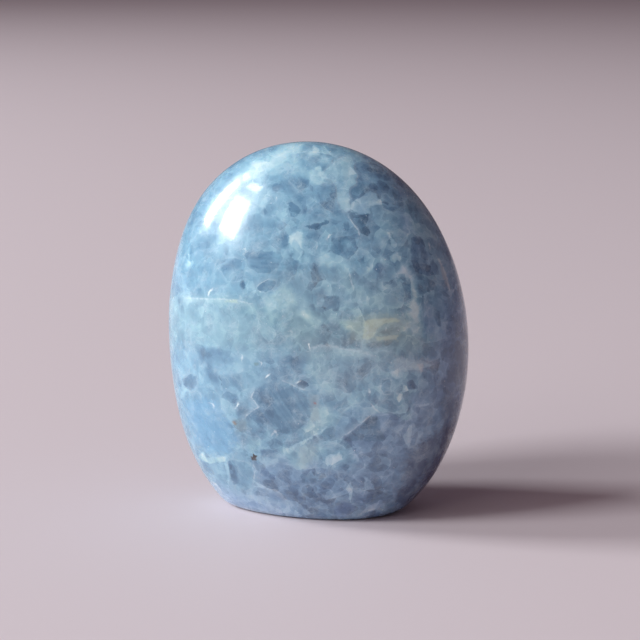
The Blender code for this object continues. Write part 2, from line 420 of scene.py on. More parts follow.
    Patch("its white edge", 0.9, 0, 1.2, 0, ((224, 463), (227, 461), (229, 470), (229, 480), (230, 488),
        (228, 482), (227, 474))),
    Patch("mottle by the pit", 0.15, -0.4, 3, 0, ((248, 440), (258, 438), (262, 442), (258, 450),
        (252, 454), (248, 448))),
    Patch("wedge under the slate", -0.4, 0.2, 1.8, 0.1, ((260, 450), (270, 449), (277, 451), (281, 455),
        (274, 459), (262, 457))),
    Patch("dark wave", -0.85, 0.4, 1.3, 0.2, ((262, 481), (266, 479), (272, 481), (278, 486), (279, 491),
        (274, 492), (268, 488), (264, 487))),
    Patch("dark field", -0.65, 0.3, 2, 0.1, ((300, 474), (312, 472), (327, 474), (324, 480), (312, 484),
        (302, 484))),
    Patch("black field", -0.95, 0.4, 1.8, 0.2, ((303, 486), (310, 485), (314, 490), (318, 497), (310, 498),
        (302, 494))),
    Patch("white dart", 0.85, 0.3, 1.3, 0, ((346, 488), (350, 482), (353, 488), (352, 495), (351, 503),
        (349, 498), (348, 492))),
    Patch("white hoof", 0.8, 0.5, 1.8, 0, ((361, 490), (365, 485), (364, 475), (366, 476), (370, 481),
        (374, 485), (375, 490))),
    Patch("pink foot", 0.45, 0.8, 2, 0, ((374, 504), (382, 500), (385, 506), (376, 509), (362, 512),
        (366, 507))),
    Patch("dark wedge at the foot", -0.55, 0.8, 1.4, 0.2, ((358, 519), (366, 513), (373, 511), (380, 512),
        (388, 517), (372, 521))),
    Patch("hem", 0.55, 0.5, 1.6, 0, ((240, 493), (250, 495), (264, 496), (270, 497), (280, 500), (290, 500),
        (298, 502), (304, 508), (311, 514), (300, 517), (284, 512), (276, 504), (262, 502), (250, 499))),
)

# White seams and glints: bent lines with a half width in pixels, a strength, and how strongly the
# crystal glows beside them: minus for the left of the line's run, plus for its right.
Seam = namedtuple("Seam", "name width strength glow line")

SEAMS = (
    Seam("rim crack", 0.9, 0.45, 0.15, ((437, 256), (441, 264), (444, 270), (447, 279), (449, 288),
        (451, 296))),
    Seam("glint at the rim", 0.9, 0.7, 0, ((429, 243), (430, 249))),
    Seam("fan", 0.8, 0.4, -0.2, ((348, 216), (352, 222), (358, 230), (360, 237))),
    Seam("end of the fan", 1.2, 0.9, 0, ((359, 238), (361, 239))),
    Seam("line over the leaf", 0.8, 0.3, -0.3, ((256, 287), (261, 283), (269, 279))),
    Seam("left line", 0.9, 0.35, 0.2, ((186, 298), (208, 299), (222, 299), (234, 300), (252, 304))),
    Seam("line under the yellow", 1.6, 0.25, 0.35, ((312, 348), (322, 345), (331, 346), (345, 349),
        (362, 352), (374, 355))),
    Seam("right edge of the shard", 0.8, 0.35, -0.2, ((253, 462), (255, 470), (254, 480))),
    Seam("notch of the slate", 0.8, 0.4, 0.35, ((254, 391), (251, 397), (255, 402), (259, 407), (254, 410),
        (248, 414), (245, 418))),
    Seam("diagonal", 0.8, 0.35, -0.3, ((341, 438), (351, 431), (364, 421), (372, 414))),
    Seam("edge of the triangle", 1, 0.5, 0, ((371, 404), (374, 408), (379, 412))),
    Seam("glint in the middle", 0.9, 1, 0, ((308, 342), (309, 346), (310, 349))),
    Seam("glint by the slate", 1, 1, 0, ((265, 378), (270, 374))),
    Seam("glint by the lens", 1, 0.9, 0, ((296, 383), (300, 381))),
    Seam("step by the lens", 0.8, 0.35, -0.3, ((282, 380), (290, 384), (298, 388), (308, 391))),
    Seam("upper glint", 1, 1, 0, ((327, 239), (330, 235))),
    Seam("waist glint", 1.2, 0.6, 0, ((242, 355), (242, 361))),
    Seam("glint in the light blue", 1, 1, 0, ((213, 404), (214, 408))),
    Seam("glint by the shard", 1, 0.9, 0, ((236, 408), (239, 402))),
    Seam("white point", 1.3, 0.95, 0, ((245, 249), (246, 251))),
    Seam("point left of the line", 1, 0.85, 0, ((208, 296), (209, 292), (213, 288))),
    Seam("point by the cloud", 0.9, 0.8, 0, ((317, 243), (317, 248))),
    Seam("point in the blue", 1.2, 0.7, 0, ((276, 196), (277, 199))),
    Seam("edge of the lens", 1, 0.3, 0, ((349, 272), (351, 281), (354, 290))),
    Seam("point on the slope", 1.1, 0.9, 0, ((291, 331), (292, 332))),
    Seam("arc by the spot", 0.8, 0.5, 0, ((259, 361), (262, 363), (261, 366))),
    Seam("yellow points", 0.8, 0.8, 0, ((386, 328), (386, 330))),
    Seam("point under the teal", 1, 0.95, 0, ((403, 313), (403, 315))),
    Seam("bright fleck", 1.3, 0.5, 0, ((272, 435), (275, 431), (277, 435))),
    Seam("white by the window", 1.1, 0.9, 0, ((369, 389), (369, 394))),
    Seam("left hem edge", 0.9, 0.65, 0.2, ((212, 482), (217, 485), (222, 493))),
    Seam("steps over the hem", 0.8, 0.25, 0.35, ((261, 485), (268, 489), (276, 490), (281, 494),
        (287, 501))),
    Seam("foot edge", 0.9, 0.45, -0.2, ((358, 516), (366, 511), (373, 509), (384, 510))),
)

# Stains with a colour of their own, and one patch of painted shade in the lower right corner:
# how much they cover and the width of their edge in pixels.
StainAndShade = namedtuple("StainAndShade", "name color share edge outline")

STAINS_AND_SHADE = (
    StainAndShade("yellow green glow", (190, 202, 188), 0.3, 8, ((346, 322), (364, 316), (380, 313), (402, 317),
        (408, 326), (396, 342), (372, 345), (350, 340))),
    StainAndShade("warm haze", (176, 176, 160), 0.12, 22, ((276, 276), (330, 266), (392, 276), (420, 330),
        (440, 350), (400, 360), (340, 404), (310, 372), (286, 330))),
    StainAndShade("sky blue", (120, 182, 222), 0.38, 11, ((186, 404), (204, 398), (216, 402), (226, 416),
        (238, 440), (230, 454), (206, 454), (194, 440))),
    # Painted shade: a dark indigo cover over the lower right corner, where the light falls off.
    StainAndShade("painted shade in the lower right corner", (52, 48, 84), 0.55, 12, ((408, 456), (424, 440), (450, 424), (470, 440),
        (440, 490), (410, 520), (400, 490))),
    StainAndShade("yellow green heart", (222, 232, 204), 0.42, 2.5, ((362, 338), (365, 328), (364, 321), (372, 319),
        (396, 318), (400, 321), (384, 324), (377, 329), (374, 336), (368, 340))),
    StainAndShade("yellow green arm", (220, 228, 204), 0.35, 2, ((376, 337), (398, 335), (397, 339), (378, 341))),
    StainAndShade("green by the left line", (210, 224, 184), 0.45, 3, ((224, 299), (238, 300), (238, 303),
        (226, 302))),
    StainAndShade("beige spot", (226, 222, 220), 0.45, 2.5, ((412, 362), (420, 361), (427, 363), (425, 367),
        (421, 373), (417, 368))),
    StainAndShade("beige plateau", (206, 206, 210), 0.2, 6, ((394, 356), (408, 358), (438, 360), (438, 366),
        (418, 372), (394, 370))),
    StainAndShade("beige at the rim crack", (190, 168, 156), 0.25, 2, ((440, 263), (443, 266), (447, 276),
        (450, 290), (446, 286), (441, 272))),
    StainAndShade("brown spot", (150, 112, 60), 0.6, 1.6, ((232, 422), (235, 421), (237, 424), (234, 426))),
    StainAndShade("brown box", (142, 152, 150), 0.3, 4, ((234, 419), (247, 421), (247, 431), (236, 432))),
    StainAndShade("dark pit", (52, 36, 32), 0.95, 1.1, ((250, 456), (253, 457), (253, 453), (255, 455), (258, 456),
        (256, 458), (257, 461), (254, 460), (252, 461), (252, 458))),
    StainAndShade("rust spot", (176, 86, 66), 0.6, 1.3, ((312, 400), (314, 402), (317, 399), (317, 404),
        (313, 406))),
    StainAndShade("second rust spot", (186, 128, 106), 0.4, 1.4, ((313, 416), (317, 413), (316, 417), (313, 419))),
    StainAndShade("rust glow", (188, 186, 176), 0.2, 5, ((309, 394), (319, 394), (320, 420), (311, 422))),
    StainAndShade("green fleck", (96, 122, 106), 0.4, 2, ((254, 363), (258, 362), (259, 365), (255, 366))),
    StainAndShade("beige under the step", (200, 198, 182), 0.15, 8, ((300, 446), (316, 440), (318, 456), (304, 470),
        (298, 462))),
)

# Fine threads inside two crystals: the slanting ones fall to the right, the level ones lie flat.
Threads = namedtuple("Threads", "slanting outline")

THREADS = (
    Threads(True, ((180, 398), (200, 388), (226, 404), (239, 447), (216, 458), (194, 449))),
    Threads(True, ((229, 462), (254, 462), (255, 478), (246, 492), (233, 484))),
    Threads(False, ((246, 251), (285, 251), (297, 260), (278, 281), (247, 275))),
    Threads(True, ((252, 397), (260, 386), (276, 381), (300, 390), (313, 410), (301, 428), (276, 432),
        (252, 420))),
    Threads(True, ((268, 187), (282, 178), (303, 181), (306, 197), (290, 198), (274, 193))),
    Threads(False, ((221, 261), (246, 261), (243, 279), (226, 280))),
)
THREAD_EDGE = 6
CALM = 0.6
UNREST_LEFT, UNREST_WIDTH = 220, 240
UNREST_TOP, UNREST_HEIGHT = 400, 200


# Soft spots that lighten or darken whatever they lie on: across, down, radius and tone
SPOTS = (
    # The first spot, at 262, 178, is a painted glow at the upper end of the highlight.
    (262, 178, 7, 0.6), (297, 164, 8, 0.5), (326, 160, 8, 0.8), (337, 184, 9, -0.45), (371, 180, 10, 0.35),
    (393, 206, 8, 0.3), (306, 211, 6, -0.4), (281, 217, 10, 0.35), (366, 240, 7, 0.35), (347, 244, 7, 0.8),
    (219, 252, 8, 0.4), (286, 252, 7, 0.6), (362, 254, 8, -0.4), (198, 258, 9, 0.4), (278, 259, 7, 0.4),
    (307, 261, 6, 0.6), (386, 287, 8, 0.8), (321, 294, 8, -0.7), (181, 302, 8, -0.35), (442, 304, 9, 0.3),
    (290, 306, 8, 0.5), (251, 309, 7, 0.35), (408, 311, 7, 0.35), (345, 313, 9, -0.6), (306, 313, 8, 0.4),
    (273, 315, 8, 0.55), (252, 341, 8, 0.4), (274, 340, 11, -0.3), (406, 344, 9, 0.4), (323, 363, 8, 0.4),
    (232, 370, 11, 0.4), (285, 372, 7, -0.35), (361, 375, 8, -0.45), (394, 374, 8, 0.5),
    (405, 379, 7, 0.45), (312, 380, 7, -0.3), (437, 384, 9, -0.4), (251, 397, 6, -0.3), (267, 402, 9, -0.4),
    (236, 404, 7, -0.35), (357, 414, 9, -0.4), (307, 423, 8, -0.4), (257, 434, 10, -0.5),
    (237, 437, 8, -0.4), (304, 443, 7, 0.35), (368, 449, 7, 0.35), (213, 452, 8, 0.4), (226, 453, 9, 0.45),
    (284, 454, 8, 0.45), (300, 471, 8, 0.35), (276, 470, 9, 0.3), (219, 472, 7, 0.3), (341, 476, 7, -0.35),
    # The next four spots darken the foot: painted shade where the light falls off at the lower right.
    (294, 489, 12, -0.3), (376, 490, 16, -0.6), (326, 495, 11, -0.7), (306, 510, 15, -0.6),
)


# Fields that carry the markings to the stone's points

def wander(places, size, shift, seed):
    """The places moved a little by slow waves, so that no outline is ruled straight."""
    moved = places.copy()
    for octave, share in ((1.0, 0.6), (2.3, 0.4)):
        step = octave * 2 * math.pi / size
        for axis in (0, 1):
            wave = np.sin(places[:, 1 - axis] * step + seed * 1.7 + 2.1 * axis)
            wave += np.sin((places[:, axis] * 0.8 + places[:, 1 - axis] * 0.6) * step * 0.9 + seed * 0.9 + axis)
            moved[:, axis] += shift * share * wave / 2
    return moved


def smooth_step(value):
    value = np.clip(value, 0, 1)
    return value * value * (3 - 2 * value)


def stretch_distance(places, start, end):
    """Distance of each place to one straight stretch, its side, and how far it lies past an end."""
    along = end - start
    length = np.linalg.norm(along)
    along = along / length
    gap = places - start
    run = gap @ along
    aside = gap[:, 1] * along[0] - gap[:, 0] * along[1]
    past = np.maximum(-run, run - length).clip(0)
    return np.hypot(aside, past), aside, past


def inside_distance(places, outline):
    """How deep each place lies inside an outline: minus where it is outside."""
    corners = np.array(outline, float)
    distance = np.full(len(places), np.inf)
    inside = np.zeros(len(places), bool)
    for start, end in zip(corners, np.roll(corners, -1, axis=0)):
        distance = np.minimum(distance, stretch_distance(places, start, end)[0])
        spans = (start[1] > places[:, 1]) != (end[1] > places[:, 1])
        rise = end[1] - start[1]
        crossing = start[0] + (places[:, 1] - start[1]) * (end[0] - start[0]) / (rise if rise else 1)
        inside ^= spans & (places[:, 0] < crossing)
    return np.where(inside, distance, -distance)


def near_outline(places, outline, margin):
    """Numbers of the places in the box around an outline."""
    corners = np.array(outline, float)
    low = corners.min(axis=0) - margin
    high = corners.max(axis=0) + margin
    return np.where(((places > low) & (places < high)).all(axis=1))[0]


class Layers:
    """Fields in a few layers. A marking goes to the first layer above all the markings that it meets."""

    def __init__(self, count, points, width):
        self.depth = np.full((count, points), -FAR)
        self.looks = np.zeros((count, points, width))
        self.taken = np.zeros((count, points), bool)

    def add(self, near, depth, looks):
        """Puts in a marking: its depth in edge widths and its looks at the near points."""
        close = depth > -FAR
        near = near[close]
        depth = np.clip(depth[close], -FAR, FAR)
        met = near[depth > -MEETING]
        under = [number for number in range(len(self.depth)) if self.taken[number, met].any()]
        number = min(under[-1] + 1, len(self.depth) - 1) if under else 0
        self.taken[number, met] = True
        over = depth > self.depth[number, near]
        self.depth[number, near[over]] = depth[over]
        self.looks[number, near[over]] = looks[close][over]
        return number


def cloud_fields(places):
    """Tone and tint of the soft clouds: a later cloud covers an earlier one."""
    fields = np.zeros((len(places), 2))
    for number, cloud in enumerate(CLOUDS):
        near = near_outline(places, cloud.outline, cloud.edge + 3)
        depth = inside_distance(wander(places[near], 13, 1.5, number), cloud.outline)
        cover = smooth_step(0.5 + depth / cloud.edge / 2)[:, None]
        fields[near] = fields[near] * (1 - cover) + cover * (cloud.tone, cloud.tint)
    return fields


def spot_field(places):
    """How far the soft spots lighten each place, minus where they darken it."""
    field = np.zeros(len(places))
    for number, (across, down, radius, tone) in enumerate(SPOTS):
        gap = wander(places, 11, 2.0, number) - (across, down)
        field += tone * smooth_step(1.2 - np.hypot(*gap.T) / radius)
    return field


def add_patches(layers, seen, places):
    for number, patch in enumerate(PATCHES):
        near = near_outline(places, patch.outline, 2 * FAR * patch.edge)
        depth = inside_distance(wander(places[near], 11, 0.9, number), patch.outline) / patch.edge
        looks = np.tile((patch.tone, patch.tint, patch.rim), (len(near), 1))
        layers.add(seen[near], depth, looks)


def add_shards(layers, points, reach_share, count, seed):
    """Flat-faced crystals scattered through the whole stone, away from the broad face."""
    rng = np.random.default_rng(seed)
    for _ in range(count):
        on = points[rng.integers(len(points))] + rng.normal(0, 0.001, 3)
        size = rng.uniform(0.0016, 0.0055)
        faces = rng.normal(0, 1, (7, 3))
        faces /= np.linalg.norm(faces, axis=1)[:, None]
        offsets = size * rng.uniform(0.6, 1.3, 7)
        edge = rng.choice((0.0003, 0.0005, 0.0012))
        tone, tint, rim = rng.uniform((-0.8, -0.4, 0.0), (0.5, 0.6, 0.45))
        near = np.where(np.linalg.norm(points - on, axis=1) < size * 2.5)[0]
        gap = points[near] - on
        depth = ((offsets - gap @ faces.T).min(axis=1) / edge).clip(-FAR, FAR)
        depth -= 2 * FAR * (1 - reach_share[near])
        looks = np.tile((tone, tint, rim), (len(near), 1))
        layers.add(near, depth, looks)


def add_seams(layers, glow, seen, places):
    """Seams by their sided distance in half widths, with a strength that ends where they end."""
    moved = wander(places, 7, 0.5, 3)
    for seam in SEAMS:
        near = near_outline(places, seam.line, 10)
        best = np.full(len(near), np.inf)
        aside = np.zeros(len(near))
        beyond = np.zeros(len(near))
        corners = np.array(seam.line, float)
        for start, end in zip(corners[:-1], corners[1:]):
            distance, side, past = stretch_distance(moved[near], start, end)
            closer = distance < best
            best[closer] = distance[closer]
            aside[closer] = side[closer]
            beyond[closer] = past[closer]
        first = np.linalg.norm(places[near] - corners[0], axis=1)
        last = np.linalg.norm(places[near] - corners[-1], axis=1)
        open_end = smooth_step(np.minimum(first, last) / 5 + 0.35)
        strength = seam.strength * open_end * (1 - smooth_step(beyond / 2)) * (1 - smooth_step((best - 4) / 2))
        side_glow = np.where(aside * seam.glow > 0, abs(seam.glow), 0.15 * seam.strength)
        glow[seen[near]] = np.maximum(glow[seen[near]], side_glow * np.exp(-(best / 4) ** 2) * open_end)
        spot = best < 6
        number = next((n for n in range(SEAM_LAYERS) if not layers.taken[n, seen[near[spot]]].any()),
                      SEAM_LAYERS - 1)
        layers.taken[number, seen[near[spot]]] = True
        stronger = strength[spot] > layers.looks[number, seen[near[spot]], 0]
        chosen = near[spot][stronger]
        layers.depth[number, seen[chosen]] = np.clip(aside[spot][stronger] / seam.width, -4 * FAR, 4 * FAR)
        layers.looks[number, seen[chosen], 0] = strength[spot][stronger]


def add_stains_and_shade(layers, seen, places):
    for number, stain_and_shade in enumerate(STAINS_AND_SHADE):
        near = near_outline(places, stain_and_shade.outline, 2 * FAR * stain_and_shade.edge)
        depth = inside_distance(wander(places[near], 9, 0.4, number), stain_and_shade.outline) / stain_and_shade.edge
        looks = np.tile((*srgb(*stain_and_shade.color), stain_and_shade.share), (len(near), 1))
        layers.add(seen[near], depth, looks)


def thread_fields(places):
    """Fields of the slanting and the level threads, and how uneven the crystal is, calm where threads are."""
    slanting = np.zeros(len(places))
    level = np.zeros(len(places))
    for threads in THREADS:
        near = near_outline(places, threads.outline, THREAD_EDGE)
        cover = smooth_step(inside_distance(places[near], threads.outline) / THREAD_EDGE)
        field = slanting if threads.slanting else level
        field[near] = np.maximum(field[near], cover)
    lowness = (places[:, 1] - UNREST_TOP).clip(0) / UNREST_HEIGHT
    unrest = 0.78 + 0.66 * smooth_step((places[:, 0] - UNREST_LEFT) / UNREST_WIDTH + lowness)
    return slanting, level, unrest * (1 - CALM * np.maximum(slanting, level))


def store(mesh, name, values):
    kind = "FLOAT_VECTOR" if values.ndim == 2 else "FLOAT"
    field = mesh.attributes.new(name, kind, "POINT")
    field.data.foreach_set("vector" if values.ndim == 2 else "value", values.astype(np.float32).ravel())


def paint_fields(mesh):
    points = read_points(mesh)
    places, to_eye = face_places(points)
    facing = (read_normals(mesh) * to_eye).sum(axis=1)
    face = smooth_step((facing - 0.02) / 0.20)
    seen = np.where(facing > 0)[0]
    around = smooth_step((facing + 0.55) / 0.60)
    reached = np.where(around > 0)[0]

    clouds = np.zeros((len(points), 2))
    clouds[reached] = cloud_fields(places[reached]) * around[reached, None]
    store(mesh, "cloud_tone", clouds[:, 0])
    store(mesh, "cloud_tint", clouds[:, 1])

    spots = np.zeros(len(points))
    spots[seen] = spot_field(places[seen]) * face[seen]
    store(mesh, "spots", spots)

    patches = Layers(PATCH_LAYERS, len(points), 3)
    add_patches(patches, seen, places[seen])
    patches.depth -= FAR * (1 - face)
    patches.depth = patches.depth.clip(-FAR, FAR)
    add_shards(patches, points, 1 - face, 300, 7)
    for number in range(PATCH_LAYERS):
        looks = patches.looks[number]
        store(mesh, f"patch_{number}", np.column_stack((patches.depth[number], looks[:, 0], looks[:, 1])))
        store(mesh, f"patch_rim_{number}", looks[:, 2])

    seams = Layers(SEAM_LAYERS, len(points), 1)
    glow = np.zeros(len(points))
    add_seams(seams, glow, seen, places[seen])
    store(mesh, "glow", glow * face)
    for number in range(SEAM_LAYERS):
        strength = seams.looks[number, :, 0] * face
        store(mesh, f"seam_{number}", np.column_stack((seams.depth[number], strength, 0 * strength)))

    stains_and_shade = Layers(STAIN_AND_SHADE_LAYERS, len(points), 4)
    add_stains_and_shade(stains_and_shade, reached, places[reached])
    for number in range(STAIN_AND_SHADE_LAYERS):
        looks = stains_and_shade.looks[number]
        store(mesh, f"stain_and_shade_color_{number}", looks[:, :3])
        store(mesh, f"stain_and_shade_{number}", np.column_stack((stains_and_shade.depth[number], looks[:, 3] * around, 0 * around)))

    threads = np.zeros((3, len(points)))
    threads[:, reached] = thread_fields(places[reached])
    store(mesh, "slanting_threads", threads[0] * face)
    store(mesh, "level_threads", threads[1] * face)
    store(mesh, "unrest", 1 + (threads[2] - 1) * around)


# Material

def node(tree, kind, inputs=None, **settings):
    made = tree.nodes.new(kind)
    for key, value in settings.items():
        setattr(made, key, value)
    for key, value in (inputs or {}).items():
        if isinstance(value, bpy.types.NodeSocket):
            tree.links.new(value, made.inputs[key])
        else:
            made.inputs[key].default_value = value
    return made


def math_node(tree, operation, first, second=0.0, third=0.0, clamp=False):
    return node(tree, "ShaderNodeMath", {0: first, 1: second, 2: third}, operation=operation,
                use_clamp=clamp).outputs[0]


def vector_node(tree, operation, first, second):
    return node(tree, "ShaderNodeVectorMath", {0: first, 1: second}, operation=operation)


def scaled(tree, vector, factor):
    return vector_node(tree, "MULTIPLY", vector, (factor, factor, factor)).outputs[0]


def spread(tree, value, low, high, low_to=0.0, high_to=1.0):
    return node(tree, "ShaderNodeMapRange", {0: value, 1: low, 2: high, 3: low_to, 4: high_to},
                interpolation_type="SMOOTHSTEP").outputs[0]


def noise(tree, where, scale, detail=3.0, roughness=0.55, distortion=0.0):
    return node(tree, "ShaderNodeTexNoise", {"Vector": where, "Scale": scale, "Detail": detail,
                                             "Roughness": roughness, "Distortion": distortion})


def mix_color(tree, share, first, second, blend="MIX"):
    return node(tree, "ShaderNodeMix", {0: share, 6: first, 7: second}, data_type="RGBA",
                blend_type=blend).outputs[2]


def mix_value(tree, share, first, second):
    return node(tree, "ShaderNodeMix", {0: share, 2: first, 3: second}).outputs[0]


def shifted(tree, where, scale, amount, detail=2.0):
    """The place moved by noise: scale per millimetre and amount in millimetres."""
    push = vector_node(tree, "SUBTRACT", noise(tree, where, scale, detail).outputs["Color"], (0.5, 0.5, 0.5))
    return vector_node(tree, "ADD", where, scaled(tree, push.outputs[0], amount)).outputs[0]


def color_ramp(tree, value, stops):
    ramp = tree.nodes.new("ShaderNodeValToRGB")
    tree.links.new(value, ramp.inputs[0])
    elements = ramp.color_ramp.elements
    while len(elements) < len(stops):
        elements.new(0.5)
    for element, (position, color) in zip(elements, stops):
        element.position = position
        element.color = (*color, 1.0)
    return ramp.outputs[0]


def srgb(red, green, blue):
    """Linear colour from 8-bit screen values."""
    values = []
    for value in (red, green, blue):
        share = value / 255
        values.append(share / 12.92 if share <= 0.04045 else ((share + 0.055) / 1.055) ** 2.4)
    return tuple(values)


def attribute(tree, name):
    return node(tree, "ShaderNodeAttribute", attribute_name=name)


def attribute_parts(tree, name):
    return node(tree, "ShaderNodeSeparateXYZ", {0: attribute(tree, name).outputs["Vector"]}).outputs


def centred(tree, value, share):
    """A value between 0 and 1 as a change around nothing."""
    return math_node(tree, "MULTIPLY", math_node(tree, "SUBTRACT", value, 0.5), share)


def mosaic(tree, where, scale, smoothness):
    """Cells of crystal: a random value, a slope of tone across each cell, and the way to its edge."""
    cells = node(tree, "ShaderNodeTexVoronoi", {"Vector": where, "Scale": scale, "Smoothness": smoothness},
                 feature="SMOOTH_F1")
    value = node(tree, "ShaderNodeSeparateColor", {0: cells.outputs["Color"]}).outputs[0]
    gap = vector_node(tree, "SUBTRACT", where, cells.outputs["Position"]).outputs[0]
    lean = vector_node(tree, "SUBTRACT", cells.outputs["Color"], (0.5, 0.5, 0.5)).outputs[0]
    slope = vector_node(tree, "DOT_PRODUCT", gap, lean).outputs["Value"]
    edge = node(tree, "ShaderNodeTexVoronoi", {"Vector": where, "Scale": scale}, feature="DISTANCE_TO_EDGE")
    return value, math_node(tree, "MULTIPLY", slope, scale), edge.outputs["Distance"], cells.outputs["Distance"]


def patch_layers(tree, tone, tint, ragged, patchy, edge_width):
    """The crystal patches over the clouds, layer by layer, and the white lines on their edges."""
    rims = None
    for number in range(PATCH_LAYERS):
        depth, patch_tone, patch_tint = attribute_parts(tree, f"patch_{number}")
        rim = attribute(tree, f"patch_rim_{number}").outputs["Fac"]
        rough_depth = math_node(tree, "ADD", depth, ragged)
        inner = math_node(tree, "MULTIPLY", edge_width, math_node(tree, "MULTIPLY_ADD", rim, -0.8, 0.5))
        outer = math_node(tree, "MULTIPLY", inner, -1.0)
        cover = math_node(tree, "MULTIPLY_ADD", spread(tree, rough_depth, outer, inner), EDGE_SHARE,
                          math_node(tree, "MULTIPLY", spread(tree, rough_depth, -0.5, 2.6), 1 - EDGE_SHARE))
        tone = mix_value(tree, cover, tone, patch_tone)
        tint = mix_value(tree, cover, tint, patch_tint)
        line = spread(tree, math_node(tree, "ABSOLUTE", math_node(tree, "ADD", rough_depth, 0.35)), 0.1, 0.6, 1.0, 0.0)
        halo = math_node(tree, "MULTIPLY", spread(tree, rough_depth, -2.8, -0.3),
                         spread(tree, rough_depth, -0.3, 0.2, 0.55, 0.0))
        line = math_node(tree, "MAXIMUM", math_node(tree, "MULTIPLY", line, patchy), halo)
        line = math_node(tree, "MULTIPLY", line, rim)
        rims = line if rims is None else math_node(tree, "MAXIMUM", rims, line)
    return tone, tint, rims


def threads(tree, place):
    """Fine threads, slanting and level, where the two fields ask for them."""
    x, y, z = node(tree, "ShaderNodeSeparateXYZ", {0: place}).outputs
    across = math_node(tree, "MULTIPLY_ADD", x, 0.82, math_node(tree, "MULTIPLY", z, 0.57))
    along = math_node(tree, "MULTIPLY_ADD", x, 0.57, math_node(tree, "MULTIPLY", z, -0.82))
    total = None
    for name, fine, coarse in (("slanting_threads", across, along), ("level_threads", z, x)):
        where = node(tree, "ShaderNodeCombineXYZ", {0: math_node(tree, "MULTIPLY", fine, 1.1),
                                                    1: math_node(tree, "MULTIPLY", coarse, 0.09),
                                                    2: math_node(tree, "MULTIPLY", y, 0.1)}).outputs[0]
        grain = centred(tree, noise(tree, where, 1.0, 3.0).outputs["Fac"], 1.0)
        grain = math_node(tree, "MULTIPLY", grain, attribute(tree, name).outputs["Fac"])
        total = grain if total is None else math_node(tree, "ADD", total, grain)
    return total


def sparkle_points(tree, place, scale, size, rarity):
    """Tiny bright points: one cell in a few holds one."""
    cells = node(tree, "ShaderNodeTexVoronoi", {"Vector": place, "Scale": scale})
    chance = node(tree, "ShaderNodeSeparateColor", {0: cells.outputs["Color"]}).outputs[1]
    dot = spread(tree, cells.outputs["Distance"], size * 0.4, size, 1.0, 0.0)
    return math_node(tree, "MULTIPLY", dot, spread(tree, chance, rarity, rarity + 0.03))


